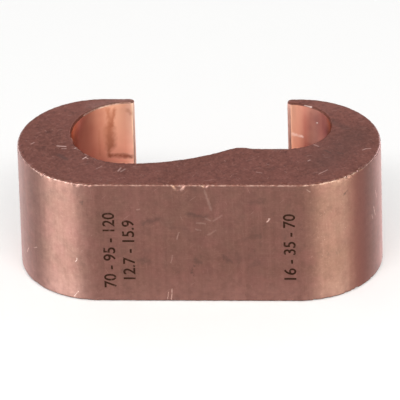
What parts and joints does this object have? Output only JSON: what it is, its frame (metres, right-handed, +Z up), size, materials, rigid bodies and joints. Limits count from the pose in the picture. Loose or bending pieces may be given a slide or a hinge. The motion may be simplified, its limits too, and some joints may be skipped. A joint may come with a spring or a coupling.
{
  "type": "compression ground connector",
  "caption": "C-shaped extruded copper compression connector with a large groove for a main conductor or ground rod, a smaller tap groove and an open mouth between thin horns.",
  "frame": {"origin": "middle of the sawn end that the connector stands on, at the centre of its bounding box", "axes": "+X along the body from the run groove to the tap groove, +Y out of the mouth, +Z up along the conductors"},
  "size_m": [0.0508, 0.0234, 0.0191],
  "materials": {
    "copper": "tumbled satin copper, lightly tarnished"
  },
  "bodies": {
    "root": {"connector_body": "copper"}
  },
  "joints": []
}
